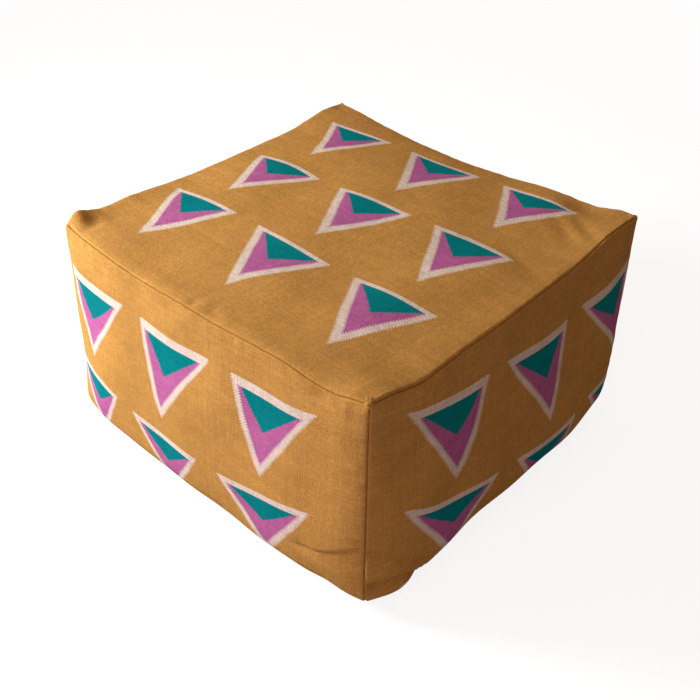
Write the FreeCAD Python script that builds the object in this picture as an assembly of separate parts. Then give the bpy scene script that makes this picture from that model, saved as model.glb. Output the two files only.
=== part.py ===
import FreeCAD, Part
import math
import os

# A square floor pouf: a flatwoven cotton cover sewn from panels, closed by a zip in its base,
# over a cotton inner bag of beads.
# Millimetres, +Z up. The origin is on the floor at the middle of the base.
# -Y is the front, +X is the right, and the zip runs along X under the base.

# The whole
seat_width = 508.0
seat_height = 305.0

# Form of the filled cover
corner_rise = 12.0
corner_run = 165.0
side_bulge = 20.0
corner_bulge = 6.0
belly_height = 66.0
roll_radius = 44.0
floor_press = 0.3
base_seam_height = 7.5

# Cloth, seams and thread
cloth = 2.4
allowance = 12.0
seam_gap = 0.2
thread = 1.0
thread_clear = 0.25
thread_end = 5.0

# Inner bag and filling
liner_cloth = 0.8
bag_clear = 0.3
bag_edge = 36.0

# Zip
zip_inset = 54.0
zip_slot = 16.0
hem_width = 10.0
tape_thickness = 0.5
tape_width = 15.0
tape_gap = 3.6
slot_margin = 2.0
tooth_pitch = 4.0
tooth_length = 1.7
tooth_height = 2.8
tooth_reach = 1.0
tooth_grip = 2.2
tooth_chamfer = 0.35
tooth_clear = 0.06
stop_length = 3.0
stop_clear = 0.2

# Slider and pull
slider_length = 16.0
slider_front = 12.0
slider_back = 10.8
slider_chamfer = 1.2
slider_plate = 1.0
slider_clear = 0.2
rail_width = 0.9
rail_clear = 0.3
post_width = 2.6
post_length = 4.0
post_setback = 1.0
bridge_length = 7.0
bridge_width = 3.0
bridge_wall = 0.7
pull_thickness = 1.1
pull_width = 7.0
pull_length = 24.0
pull_arm = 1.4
pull_taper = 1.8
pull_hole = 2.8
pull_clear = 0.15
floor_clear = 0.4

# Sizes that follow from the ones above
half = seat_width / 2
reach = half + 2 * side_bulge
seam_clear = thread + 2 * thread_clear
ear_start = half - corner_run
roll_middle = roll_radius - floor_press
tall = seat_height + 4 * corner_rise + allowance
lip_half = half - 2 * cloth - seam_clear
cavity = tooth_height / 2 + slider_clear
window = pull_thickness + 2 * pull_clear
plate_low = floor_clear + bridge_wall + window
pin_z = plate_low - window / 2
chain_z = plate_low + slider_plate + cavity
tape_low = chain_z - tape_thickness / 2
tape_high = chain_z + tape_thickness / 2
zip_length = seat_width - 2 * zip_inset
closed_end = zip_length / 2
slider_x = closed_end + tooth_pitch / 4 - slider_length / 2 + post_length + post_setback
slot_end = slider_x + pull_length + slot_margin
stitch_y = zip_slot / 2 + hem_width / 2
channel_half = zip_slot / 2 + hem_width + bag_clear
channel_top = chain_z + cavity + slider_plate + 4 * bag_clear


def point(x, y, z):
    return FreeCAD.Vector(x, y, z)


def line(a, b):
    return Part.LineSegment(a, b).toShape()


def arc(a, b, c):
    return Part.Arc(a, b, c).toShape()


def box(x0, x1, y0, y1, z0, z1):
    return Part.makeBox(x1 - x0, y1 - y0, z1 - z0, point(x0, y0, z0))


def prism(corners, direction):
    """A straight prism on a closed outline of corners."""
    face = Part.Face(Part.makePolygon(corners + [corners[0]]))
    return face.extrude(direction)


def turned(shape, degrees):
    copy = shape.copy()
    copy.rotate(point(0, 0, 0), point(0, 0, 1), degrees)
    return copy


def mirrored(shape):
    return shape.mirror(point(0, 0, 0), point(0, 1, 0))


def one_solid(shape):
    """The single solid of a boolean result, with its seams merged."""
    solids = shape.removeSplitter().Solids
    return max(solids, key=lambda s: s.Volume)


def bulge_at(x):
    """How far the side stands out past the top seam, at a distance x from the middle of the side."""
    share = min(1.0, (x / half) ** 2)
    return side_bulge - (side_bulge - corner_bulge) * share


def side_points(radius, bulge, inset, start):
    """Ends and middles of the arcs down a side, as (distance from the middle, height) pairs.

    The side leaves the seam upright, swells to the belly, and rolls under to the floor.
    """
    rise = (start - belly_height) / 2
    bend = ((bulge / 2) ** 2 + rise**2) / bulge
    swing = math.asin(rise / bend)
    outer, inner = bend + inset, bend - inset
    hollow = [
        (radius + bend - outer * math.cos(a), start - outer * math.sin(a)) for a in (0, swing / 2, swing)
    ]
    belly = radius + bulge - bend
    swell = [
        (belly + inner * math.cos(a), belly_height + inner * math.sin(a)) for a in (swing, swing / 2, 0)
    ]
    roll = roll_radius - inset
    middle = radius + bulge - roll_radius
    under = [
        (middle + roll * math.cos(a), roll_middle - roll * math.sin(a))
        for a in (0, math.pi / 4, math.pi / 2)
    ]
    return hollow, swell, under


def side_edges(place, hollow, swell, under):
    """The edges down one side, from its upper end to where it lies on the floor."""
    return [
        arc(*[place(*p) for p in hollow]),
        arc(*[place(*p) for p in swell]),
        line(place(*swell[2]), place(*under[0])),
        arc(*[place(*p) for p in under]),
    ]


def cross_section(x, inset, top, edge):
    """A closed section across the pouf at x, inset from the outside of the cover."""
    start = top - edge if edge else seat_height
    hollow, swell, under = side_points(half, bulge_at(x), inset, start)
    shoulder = hollow[0][0]
    slant = edge * math.sqrt(0.5)
    edges = []
    for side in (-1, 1):

        def place(r, z):
            return point(x, side * r, z)

        if edge:
            crown = arc(
                place(shoulder - edge, top),
                place(shoulder - edge + slant, top - edge + slant),
                place(shoulder, top - edge),
            )
        else:
            crown = line(place(shoulder, top), place(shoulder, start))
        edges += [crown] + side_edges(place, hollow, swell, under)
    edges.append(line(point(x, edge - shoulder, top), point(x, shoulder - edge, top)))
    edges.append(line(point(x, -under[2][0], under[2][1]), point(x, under[2][0], under[2][1])))
    return Part.Wire(Part.__sortEdges__(edges))


def body(inset, top=tall, edge=0.0):
    """The whole filled form, inset all round and pressed flat on the floor.

    Its corners are where two crossing sweeps meet.
    """
    stations = [-reach, -half, -half / 2, 0.0, half / 2, half, reach]
    sweep = Part.makeLoft([cross_section(x, inset, top, edge) for x in stations], True, False)
    return sweep.common(turned(sweep, 90)).common(square(2 * reach, inset, 2 * tall))


def seam_height(x):
    """Height of the top seam at a distance x from the middle of a side."""
    if abs(x) <= ear_start:
        return seat_height
    bend = ((half - ear_start) ** 2 + corner_rise**2) / (2 * corner_rise)
    return seat_height + bend - math.sqrt(bend**2 - (abs(x) - ear_start) ** 2)


def seam_edges(end, y, lift):
    """The line of the top seam along a side, level in the middle and rising to both corners."""

    def at(x):
        return point(x, y, seam_height(x) + lift)

    middle = (ear_start + end) / 2
    return [
        arc(at(-end), at(-middle), at(-ear_start)),
        line(at(-ear_start), at(ear_start)),
        arc(at(ear_start), at(middle), at(end)),
    ]


def below_seam(lift):
    """Everything under the top seam's surface, raised by lift."""
    floor = -roll_radius
    edges = seam_edges(reach, -reach, lift)
    left = point(-reach, -reach, seam_height(reach) + lift)
    right = point(reach, -reach, seam_height(reach) + lift)
    low_left = point(-reach, -reach, floor)
    low_right = point(reach, -reach, floor)
    edges += [line(right, low_right), line(low_right, low_left), line(low_left, left)]
    slab = Part.Face(Part.Wire(edges)).extrude(point(0, 2 * reach, 0))
    return slab.common(turned(slab, 90))


def square(size, low, high):
    return box(-size, size, -size, size, low, high)


def front_wedge():
    """The quarter of the plan in front, up to the seams on its two diagonals."""
    near = -seam_gap
    far = -2 * reach
    corners = [point(0, near, -roll_radius), point(far - near, far, -roll_radius)]
    corners.append(point(near - far, far, -roll_radius))
    return prism(corners, point(0, 0, 2 * tall))


def cord(edges, size):
    """A round thread along a smooth run of arcs and lines."""
    runs = []
    for edge in edges:
        start = edge.valueAt(edge.FirstParameter)
        ring = Part.makeCircle(size / 2, start, edge.tangentAt(edge.FirstParameter))
        face = Part.Face(Part.Wire(ring))
        if isinstance(edge.Curve, Part.Circle):
            angle = math.degrees(edge.LastParameter - edge.FirstParameter)
            runs.append(face.revolve(edge.Curve.Center, edge.Curve.Axis, angle))
        else:
            runs.append(face.extrude(edge.valueAt(edge.LastParameter) - start))
    return one_solid(runs[0].fuse(runs[1:]) if len(runs) > 1 else runs[0])


def base_seam_run(size, shorter):
    """A thread along the front base seam, in the middle of the cloth's edge."""
    roll = roll_radius - cloth / 2
    out = math.sqrt(roll**2 - (roll_middle - base_seam_height) ** 2) - roll_radius

    def at(x):
        return point(x, -(half + bulge_at(x) + out), base_seam_height)

    end = half + corner_bulge + out
    run = cord([arc(at(-end), at(0), at(end))], size)
    return run.common(box(shorter - end, end - shorter, -2 * reach, 0, 0, tall))


cover = body(0.0)
hollow_cover = body(cloth)
shell = cover.cut(hollow_cover)
under_top = below_seam(0.0)
above_base = square(2 * reach, base_seam_height, 2 * tall)
base_tunnel = base_seam_run(seam_clear, 0.0)


def side_panel():
    """The front side panel, with the edge turned in under the top seam and both corner allowances."""
    wedge = front_wedge()
    panel = shell.common(wedge).common(above_base)
    hem = box(-reach, reach, -half + cloth / 2, -half + 2 * cloth, seat_height - allowance, tall)
    panel = panel.fuse(hem.common(wedge))
    panel = panel.common(under_top)
    deep = body(cloth / 2).cut(body(cloth + allowance))
    fin_high = seat_height - allowance - seam_gap
    offset = seam_clear / 2
    slab = box(0, 2 * reach, -offset - cloth, -offset, roll_radius, fin_high)
    fin = deep.common(turned(slab, -45))
    panel = panel.fuse(fin).fuse(fin.mirror(point(0, 0, 0), point(1, 0, 0)))
    return one_solid(panel.cut(base_tunnel))


def top_panel():
    """The top panel with its allowance turned down inside the sides."""
    plate = below_seam(seam_gap + cloth).cut(below_seam(seam_gap))
    plate = plate.common(square(half, 0, 2 * tall))
    ring = square(lip_half, seat_height - allowance, tall).cut(square(lip_half - cloth, 0, 2 * tall))
    ring = ring.common(below_seam(seam_gap + cloth / 2))
    return one_solid(plate.fuse(ring))


def base_half():
    """The front half of the base, hemmed along the zip."""
    panel = shell.common(square(2 * reach, -1.0, base_seam_height))
    panel = panel.common(box(-2 * reach, 2 * reach, -2 * reach, -seam_gap / 2, -1.0, tall))
    hem = box(-slot_end, slot_end, -zip_slot / 2 - hem_width, -zip_slot / 2, cloth / 2, tape_low)
    panel = panel.fuse(hem)
    panel = panel.cut(box(-slot_end, slot_end, -zip_slot / 2, zip_slot, -1.0, tall))
    for quarter in range(4):
        panel = panel.cut(turned(base_tunnel, 90 * quarter))
    return one_solid(panel)


def corner_thread():
    """The thread between the two allowances of the front right corner."""
    depth = cloth + allowance / 2
    diagonal = math.sqrt(2)
    top = seat_height - allowance - thread_end
    hollow, swell, _ = side_points((half - depth) * diagonal, corner_bulge * diagonal, 0, top)

    def place(p):
        return point(p[0], 0, p[1])

    foot = (swell[2][0], roll_radius + thread_end)
    edges = [arc(*map(place, hollow)), arc(*map(place, swell)), line(place(swell[2]), place(foot))]
    return turned(cord(edges, thread), -45)


def bag(inset):
    """The filled inner bag: rounded edges, corners cut back from the seams, a channel over the zip."""
    more = inset - cloth - bag_clear
    form = body(inset, seat_height - more, bag_edge)
    fin_edge = seam_clear / 2 + cloth + bag_clear
    corner = half - cloth - allowance - (fin_edge + more) * math.sqrt(0.5)
    diamond = [point(2 * corner, 0, -1), point(0, 2 * corner, -1)]
    diamond += [point(-2 * corner, 0, -1), point(0, -2 * corner, -1)]
    form = form.common(prism(diamond, point(0, 0, 2 * tall)))
    wide = channel_half + more
    return form.cut(box(-2 * reach, 2 * reach, -wide, wide, -1, channel_top + more))


def liner_pieces():
    """The inner bag's top, band and base."""
    inset = cloth + bag_clear
    skin = bag(inset).cut(bag(inset + liner_cloth))
    top_line = seat_height - bag_edge
    base_line = roll_radius
    top = skin.common(square(2 * reach, top_line, tall))
    band = skin.common(square(2 * reach, base_line, top_line))
    base = skin.common(square(2 * reach, -1, base_line))
    return one_solid(top), one_solid(band), one_solid(base)


def tape():
    """The front zip tape, lying on the hem and reaching to the teeth."""
    inner = -tape_gap / 2
    return box(-slot_end, slot_end, inner - tape_width, inner, tape_low, tape_high)


def tooth():
    """A moulded tooth of the front row, gripping the edge of the tape; its head meets the other row."""
    back = -tape_gap / 2 - tooth_grip
    low = chain_z - tooth_height / 2
    high = chain_z + tooth_height / 2
    block = box(-tooth_length / 2, tooth_length / 2, back, tooth_reach, low, high)
    block = block.makeChamfer(tooth_chamfer, [e for e in block.Edges if upright(e)])
    slot = box(
        -tooth_length,
        tooth_length,
        back - 1.0,
        -tape_gap / 2 + tooth_clear,
        tape_low - tooth_clear,
        tape_high + tooth_clear,
    )
    return block.cut(slot)


def upright(edge):
    ends = [v.Point for v in edge.Vertexes]
    return abs(ends[0].x - ends[1].x) + abs(ends[0].y - ends[1].y) < 1e-6


def teeth(shift):
    """A row of teeth along the front tape, from the bottom stop to the closed end."""
    one = tooth()
    count = int(zip_length / tooth_pitch)
    row = []
    for i in range(count):
        copy = one.copy()
        copy.translate(point(-closed_end + (i + shift) * tooth_pitch, 0, 0))
        row.append(copy)
    return Part.makeCompound(row)


def stop(x, y0, y1):
    """A stop clamped over a tape, or over both tapes."""
    low = chain_z - tooth_height / 2
    high = chain_z + tooth_height / 2
    block = box(x, x + stop_length, y0, y1, low, high)
    gap = box(
        x - 1,
        x + stop_length + 1,
        -zip_slot,
        -tape_gap / 2 + tooth_clear,
        tape_low - tooth_clear,
        tape_high + tooth_clear,
    )
    return block.cut(gap).cut(mirrored(gap))


def slider():
    """Two plates over and under the chain, rails at their sides, a post in front and a bridge below."""
    back = -slider_length / 2
    front = slider_length / 2
    plan = [point(back, -slider_back / 2, 0), point(front, -slider_front / 2, 0)]
    plan += [point(front, slider_front / 2, 0), point(back, slider_back / 2, 0)]
    inner = [point(back, -slider_back / 2 + rail_width, 0), point(front, -slider_front / 2 + rail_width, 0)]
    inner += [point(front, slider_front / 2 - rail_width, 0), point(back, slider_back / 2 - rail_width, 0)]
    outside = prism(plan, point(0, 0, 2 * (cavity + slider_plate)))
    outside.translate(point(0, 0, -cavity - slider_plate))
    outside = outside.makeChamfer(slider_chamfer, [e for e in outside.Edges if upright(e)])
    hollow = prism(inner, point(0, 0, 2 * cavity))
    hollow.translate(point(0, 0, -cavity))
    stretched = FreeCAD.Matrix()
    stretched.scale(1.2, 1.0, 1.0)
    hollow = hollow.transformGeometry(stretched)
    slit_half = tape_thickness / 2 + rail_clear
    slit = box(-slider_length, slider_length, -slider_front, slider_front, -slit_half, slit_half)
    block = outside.cut(hollow).cut(slit)
    post_front = front - post_setback
    post = box(post_front - post_length, post_front, -post_width / 2, post_width / 2, -cavity, cavity)
    block = block.fuse(post)
    bridge_low = floor_clear - chain_z
    plate = plate_low - chain_z
    arch = box(
        -bridge_length / 2,
        bridge_length / 2,
        -bridge_width / 2,
        bridge_width / 2,
        bridge_low,
        plate + slider_plate / 2,
    )
    opening = box(
        -bridge_length / 2 + bridge_wall,
        bridge_length / 2 - bridge_wall,
        -bridge_width,
        bridge_width,
        plate - window,
        plate,
    )
    block = one_solid(block.fuse(arch.cut(opening)))
    block.translate(point(slider_x, 0, chain_z))
    return block


def pull():
    """The pull tab: a round bar through the bridge, two arms past it and a flat tab."""
    radius = pull_thickness / 2
    bar = Part.makeCylinder(radius, pull_width, point(0, -pull_width / 2, 0), point(0, 1, 0))
    arm_end = bridge_length / 2 + 2 * radius
    blade = box(-pull_length, 0, -pull_width / 2, pull_width / 2, -radius, radius)
    tips = [e for e in blade.Edges if upright(e) and e.Vertexes[0].Point.x < -radius]
    blade = blade.makeChamfer(pull_taper, tips)
    gap = pull_width / 2 - pull_arm
    blade = blade.cut(box(-arm_end, radius, -gap, gap, -pull_width, pull_width))
    hole_x = -pull_length + pull_taper + pull_hole / 2
    hole = Part.makeCylinder(pull_hole / 2, 2 * pull_width, point(hole_x, 0, -pull_width), point(0, 0, 1))
    tab = one_solid(blade.fuse(bar).cut(hole))
    tab.translate(point(slider_x, 0, pin_z))
    return tab


def zip_stitches(side):
    """The line of stitching that holds one tape to its hem."""
    length = 2 * (slot_end - thread_end)
    z = tape_high + thread_clear + thread / 2
    return Part.makeCylinder(thread / 2, length, point(-length / 2, side * stitch_y, z), point(1, 0, 0))


pieces = {}
front = side_panel()
for turn, name in enumerate(("front_panel", "right_panel", "back_panel", "left_panel")):
    pieces[name] = turned(front, 90 * turn)
pieces["top_panel"] = top_panel()
pieces["base_panel_front"] = base_half()
pieces["base_panel_back"] = mirrored(pieces["base_panel_front"])
pieces["liner_top"], pieces["liner_band"], pieces["liner_base"] = liner_pieces()
pieces["bead_fill"] = one_solid(bag(cloth + liner_cloth + 2 * bag_clear))

seam_y = -half + 2 * cloth + seam_clear / 2
top_run = cord(seam_edges(lip_half - thread_end, seam_y, -allowance / 2), thread)
base_run = base_seam_run(thread, thread_end)
for name, run in (
    ("top_seam_thread", top_run),
    ("base_seam_thread", base_run),
    ("corner_seam_thread", corner_thread()),
):
    pieces[name] = Part.makeCompound([turned(run, 90 * turn) for turn in range(4)])

pieces["zip_tape_front"] = tape()
pieces["zip_tape_back"] = mirrored(tape())
pieces["zip_teeth_front"] = teeth(0.25)
pieces["zip_teeth_back"] = mirrored(teeth(0.75))
grip = tape_gap / 2 + tooth_grip
pieces["zip_bottom_stop"] = stop(-closed_end - stop_length - stop_clear, -grip, grip)
top_stop = stop(slider_x + slider_length / 2 + stop_clear, -grip, -tape_gap / 4)
pieces["zip_top_stops"] = Part.makeCompound([top_stop, mirrored(top_stop)])
pieces["zip_slider"] = slider()
pieces["zip_pull"] = pull()
pieces["zip_seam_thread"] = Part.makeCompound([zip_stitches(-1), zip_stitches(1)])

os.makedirs("parts", exist_ok=True)
for name, shape in pieces.items():
    shape.exportStep("parts/" + name + ".step")
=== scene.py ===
import math

import bpy
import numpy as np
from mathutils import Matrix, Vector


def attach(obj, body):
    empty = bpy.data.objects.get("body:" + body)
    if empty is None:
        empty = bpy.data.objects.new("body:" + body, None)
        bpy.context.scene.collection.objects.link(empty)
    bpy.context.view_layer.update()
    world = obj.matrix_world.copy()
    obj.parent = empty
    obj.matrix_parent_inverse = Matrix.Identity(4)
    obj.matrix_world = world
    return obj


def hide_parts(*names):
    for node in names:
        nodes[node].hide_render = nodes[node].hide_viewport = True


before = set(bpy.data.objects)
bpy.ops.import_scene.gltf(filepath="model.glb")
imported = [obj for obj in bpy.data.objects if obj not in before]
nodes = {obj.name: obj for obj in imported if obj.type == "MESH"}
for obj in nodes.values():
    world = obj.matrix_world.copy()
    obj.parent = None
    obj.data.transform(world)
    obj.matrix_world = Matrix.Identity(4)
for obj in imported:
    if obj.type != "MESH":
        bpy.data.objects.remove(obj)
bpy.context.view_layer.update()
MM = 0.001

# The cover's shape, in millimetres: size, rising corners, bowed and swelling sides, lips and rolled edges.
HALF = 254.0
SEAM_Z = 304.8
EAR = 11.9
EAR_POWER = 3.24
BOW = 3.8
BOW_RUN = 120
BOW_POWER = 4
BELLY = 22.0
BELLY_CORNER = 6.3
BELLY_POWER = 4.24
BELLY_Z = 66.0
FULL_MIDDLE = 1.25
FULL_CORNER = 2.0
FULL_POWER = 3
ROLL = 44.0
BASE_SEAM = 7.5
LIP = 3.5
LIP_RUN = 30.0
LIFT_RUN = 42.0
NEAREST = 0.5
SHOULDER = 1.6
SHOULDER_FOOT = 2
SHOULDER_START = 15
SHOULDER_RUN = 60
CORNER_LIP = 0.6
CORNER_ROUND = 5.5
CORNER_RUN = 45.0
CLOTH = 2.0
GAP = 0.35
TURN_IN = 5.5
CORNER_TURN_IN = 3.2
BASE_TURN_IN = 3.4
TAIL = 9.0
LEAST_CURL = 0.4
STEP = 3.0
SIDE_RUN = 330
PROFILE_STEPS = 600
LIP_FADE = 40
ROUND_TOP = 60
ROUND_BASE = 70
DIAGONAL = math.sqrt(0.5)

# Waves of the cloth and puckers along its seams, in millimetres: length and height, and how they fade out.
SIDE_WAVES, SIDE_WAVE_FADE = (150, 1.2), 40
TOP_WAVES, TOP_WAVE_FADE = (170, 1.1), 50
SIDE_PUCKERS, SIDE_STRETCH = (26, 0.55), 0.25
TOP_PUCKERS, TOP_STRETCH = (26, 0.3), 0.3
PUCKER_START, PUCKER_RUN = 10, 16
WAVE_SPREAD = (0.6, 1.7)

# Seeds of the random draws. Each side adds its number to the first three.
SEAM_SEED = 55
SIDE_SEED = 11
PUCKER_SEED = 61
TOP_SEED = 5
BASE_SEED = 81
LUMP_SEED = 91

# The base: its hem round the zip, its rise off the floor, its waves and the dip along its stitches.
HEM_ROOM = 2.4
HEM_RADIUS = 2.3
HEM_STEPS = 7
HEM_LINES = (4.0, 9.0)
BASE_RISE = 0.15
BASE_WAVES, BASE_WAVE_FADE = (60, 0.6), 30
BASE_WAVE_START = 22
BASE_WAVE_RISE, BASE_WAVE_MOST = 0.5, 3
DIP, DIP_WIDTH = 0.35, 0.9

# Stitches. A ring of a stitch is a place along its length and a share of its radius.
STITCH_PITCH = 3.6
STITCH_LENGTH = 3.0
STITCH_RADIUS = 0.42
STITCH_SIDES = 6
STITCH_PROBE = 0.5
STITCH_RINGS = ((-0.5, 0.45), (-0.36, 1.0), (0.0, 1.12), (0.36, 1.0), (0.5, 0.45))
STITCH_LEAN = (0.3, 0.2, 0.93)
SEAM_END = 9.0
ZIP_STITCH_RADIUS = 0.38
ZIP_STITCH_END = 4
ZIP_STITCH_LOW = 0.42
ZIP_STITCH_OVER = 0.25

# The zip, with sizes as in the solids, and the lines and ribs of its tapes.
SLOT_END = 224.0
SLOT_HALF = 8.0
STITCH_Y = 13.0
TAPE_LOW, TAPE_HIGH = 4.85, 5.35
TAPE_IN, TAPE_OUT = 1.8, 16.8
TAPE_STEPS, TAPE_ROWS = 150, 8
TAPE_EDGE = (0, 0.6, 2)
TAPE_WOVEN, TAPE_RIM = 4, 1
TAPE_RIB, TAPE_RIB_RUN = 0.05, 1.7
TAPE_PLAIN, TAPE_RIBBED = 6, 9

# The weave: rows of triangles, their spacing and size, the woven steps and teeth, and the threads.
COLUMNS, ROWS = 3, 3
REPEAT_X = 161.0
REPEAT_Y = 150.0
TRI_HALF = 62.0
TRI_TALL = 117.0
WOVEN_STEP = REPEAT_Y / 100
TOOTH = 2.4
FINE_TOOTH = 1.4
RIB = 2.2
PICK = 1.9
LINER_PITCH = (0.9, 0.9)
TAPE_PITCH = (0.7, 0.7)

# The triangles inside: the pink one's base, half width and tip, and the teal one's half width and tip.
SIDE_PINK = (10.3, 48.5, 98.5)
SIDE_TEAL = (44.0, 52.8)
TOP_PINK = (6.5, 48.5, 92.0)
TOP_TEAL = (45.5, 45.5)

# The sides' teal triangle as it is seen. It is woven in steps, which end just inside its corners.
TEAL_SEEN_HALF, TEAL_SEEN_TIP = 43.5, 52.5

# The camera in the photograph's frame: turn round the pouf, height and tilt in degrees, distance and offsets
# from the point it looks at in millimetres, and focal length in pixels.
AZIMUTH, ELEVATION, TILT = 41.8239, 37.6143, 0.9715
EYE_BACK, EYE_RIGHT, EYE_UP = 1336.5194, -0.4441, -24.1058
AIM_Z = 140.0
FOCAL = 971.2677
PICTURE = 700


def camera_axes():
    """The camera's right, up and back directions."""
    turn, rise, tilt = (math.radians(angle) for angle in (AZIMUTH, ELEVATION, TILT))
    flat = math.cos(rise)
    back = np.array([math.sin(turn) * flat, -math.cos(turn) * flat, math.sin(rise)])
    level = np.array([math.cos(turn), math.sin(turn), 0.0])
    upright = np.cross(back, level)
    right = math.cos(tilt) * level + math.sin(tilt) * upright
    up = math.cos(tilt) * upright - math.sin(tilt) * level
    return np.array([right, up, back])


AXES = camera_axes()
EYE = np.array([EYE_RIGHT, EYE_UP, EYE_BACK]) @ AXES + np.array([0, 0, AIM_Z])


def in_picture(points):
    """Where points fall in the picture, in pixels."""
    sight = (points - EYE) @ AXES.T
    return PICTURE / 2 + FOCAL * np.stack([sight[..., 0], -sight[..., 1]], -1) / -sight[..., 2:]


# Corners of the woven triangles read from the photograph, in its pixels, after each triangle's column
# and row. The heart is the tip of the teal triangle inside, and the shoulder is its right corner.
READINGS = {
    "top": (
        (-1, 0, {"left": (333, 122), "right": (392, 143), "tip": (311, 154)}),
        (0, 0, {"left": (413, 152), "right": (481, 178), "tip": (396, 190)}),
        (1, 0, {"left": (504, 185), "right": (578, 214), "tip": (494, 227)}),
        (-1, 1, {"left": (261, 155), "right": (320, 179), "tip": (229, 189)}),
        (0, 1, {"left": (341, 188), "right": (412, 216), "tip": (316, 234)}),
        (1, 1, {"left": (435, 225), "right": (515, 261), "tip": (417, 281)}),
        (-1, 2, {"left": (178, 188), "right": (237, 213), "tip": (138, 233)}),
        (0, 2, {"left": (259, 225), "right": (330, 265), "tip": (225, 284)}),
        (1, 2, {"left": (355, 277), "right": (438, 317), "tip": (327, 344)}),
    ),
    "front": (
        (-1, 0, {"left": (72, 263), "right": (124, 305), "tip": (94, 356)}),
        (0, 0, {"left": (139, 315), "right": (211, 360), "tip": (161, 418)}),
        (1, 0, {"left": (230, 371), "right": (314, 417), "tip": (260, 477)}),
        (-1, 1, {"right": (118, 398), "heart": (102, 398)}),
        (0, 1, {"left": (130, 409), "right": (197, 461), "heart": (169, 460)}),
        (1, 1, {"left": (214, 472), "right": (310, 513), "heart": (264, 520)}),
    ),
    "right": (
        (-1, 0, {"left": (408, 415), "right": (492, 373), "tip": (457, 480)}),
        (0, 0, {"left": (505, 361), "right": (569, 318), "tip": (551, 421)}),
        (1, 0, {"left": (580, 306), "heart": (615, 314), "shoulder": (623, 273)}),
        (-1, 1, {"left": (403, 510), "right": (501, 471), "heart": (453, 521)}),
        (0, 1, {"left": (516, 460), "right": (575, 410)}),
        (1, 1, {"left": (587, 397)}),
    ),
}

# The same corners in the weave's own repeat, in millimetres.
CORNERS = {
    "left": (-TRI_HALF, 0),
    "right": (TRI_HALF, 0),
    "tip": (0, TRI_TALL),
    "heart": (0, TEAL_SEEN_TIP),
    "shoulder": (TEAL_SEEN_HALF, SIDE_PINK[0]),
}

# How far a reading blurs in pixels, how smoothly each panel's weave runs, and how single triangles pull it.
READING_BLUR = 2.0
SERIES_ORDER = {"top": 3, "front": 2, "right": 2}
SERIES_CALM = 0.02
PULL_REACH = 48
PULL_SLACK = {"top": 0.15, "front": 0.3, "right": 0.3}
weaves = {}


def exponents(order):
    return [(i, j) for i in range(order + 1) for j in range(order + 1 - i)]


def powers(places, order):
    """Terms of a power series at places on a panel."""
    a, b = places[..., 0] / HALF, places[..., 1] / HALF
    return np.stack([a**i * b**j for i, j in exponents(order)], -1)


def nearness(places, centre):
    return np.exp(-((places - centre) ** 2).sum(-1) / (2 * PULL_REACH**2))


def read_place(grid, places, pixel):
    """The place on a panel, in its own coordinates, that the camera sees at a pixel."""
    flat = in_picture(grid)
    along, down = np.gradient(flat, axis=1), np.gradient(flat, axis=0)
    turn = along[..., 0] * down[..., 1] - along[..., 1] * down[..., 0]
    facing = turn * np.sign(np.median(turn)) > 0
    share = facing * np.exp(-((flat - pixel) ** 2).sum(-1) / (2 * READING_BLUR**2))
    return (share[..., None] * places).sum((0, 1)) / share.sum()


def fit_weave(panel, grid, places):
    """Work out how the weave lies on a panel, from the readings of its triangles."""
    marks, targets = [], []
    for column, row, corners in READINGS[panel]:
        for corner, pixel in corners.items():
            across, down = CORNERS[corner]
            marks.append(read_place(grid, places, pixel))
            targets.append((across + column * REPEAT_X, down + row * REPEAT_Y))
    marks, targets = np.array(marks), np.array(targets)
    order = SERIES_ORDER[panel]
    terms = powers(marks, order)
    degrees = [i + j for i, j in exponents(order)]
    calm = np.diag([SERIES_CALM * d if d > 1 else 0.0 for d in degrees]) * math.sqrt(len(marks))
    wanted = np.vstack([targets, np.zeros((len(degrees), 2))])
    series = np.linalg.lstsq(np.vstack([terms, calm]), wanted, rcond=None)[0]
    near = np.array([nearness(marks, mark) for mark in marks])
    slack = PULL_SLACK[panel] * np.eye(len(marks))
    weaves[panel] = (series, marks, np.linalg.solve(near + slack, targets - terms @ series))


def drift(panel, places):
    """Weave coordinates in metres, across and down the repeat, at places on a panel."""
    series, marks, pulls = weaves[panel]
    total = powers(places, SERIES_ORDER[panel]) @ series
    for mark, pull in zip(marks, pulls):
        total = total + nearness(places, mark)[..., None] * pull
    return total * MM


def smooth(x, low, high):
    """A soft step from 0 at low to 1 at high."""
    t = np.clip((x - low) / (high - low), 0, 1)
    return t * t * (3 - 2 * t)


def waves(seed, size, reach, count=24):
    """A gentle random surface of the given wavelength."""
    rng = np.random.default_rng(seed)
    angle = rng.uniform(0, 2 * np.pi, count)
    scale = rng.uniform(*WAVE_SPREAD, count) * 2 * np.pi / size
    phase = rng.uniform(0, 2 * np.pi, count)

    def at(u, v):
        total = 0.0
        for a, k, p in zip(angle, scale, phase):
            total = total + np.sin(k * (np.cos(a) * u + np.sin(a) * v) + p)
        return total * reach / math.sqrt(count / 2)

    return at


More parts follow.
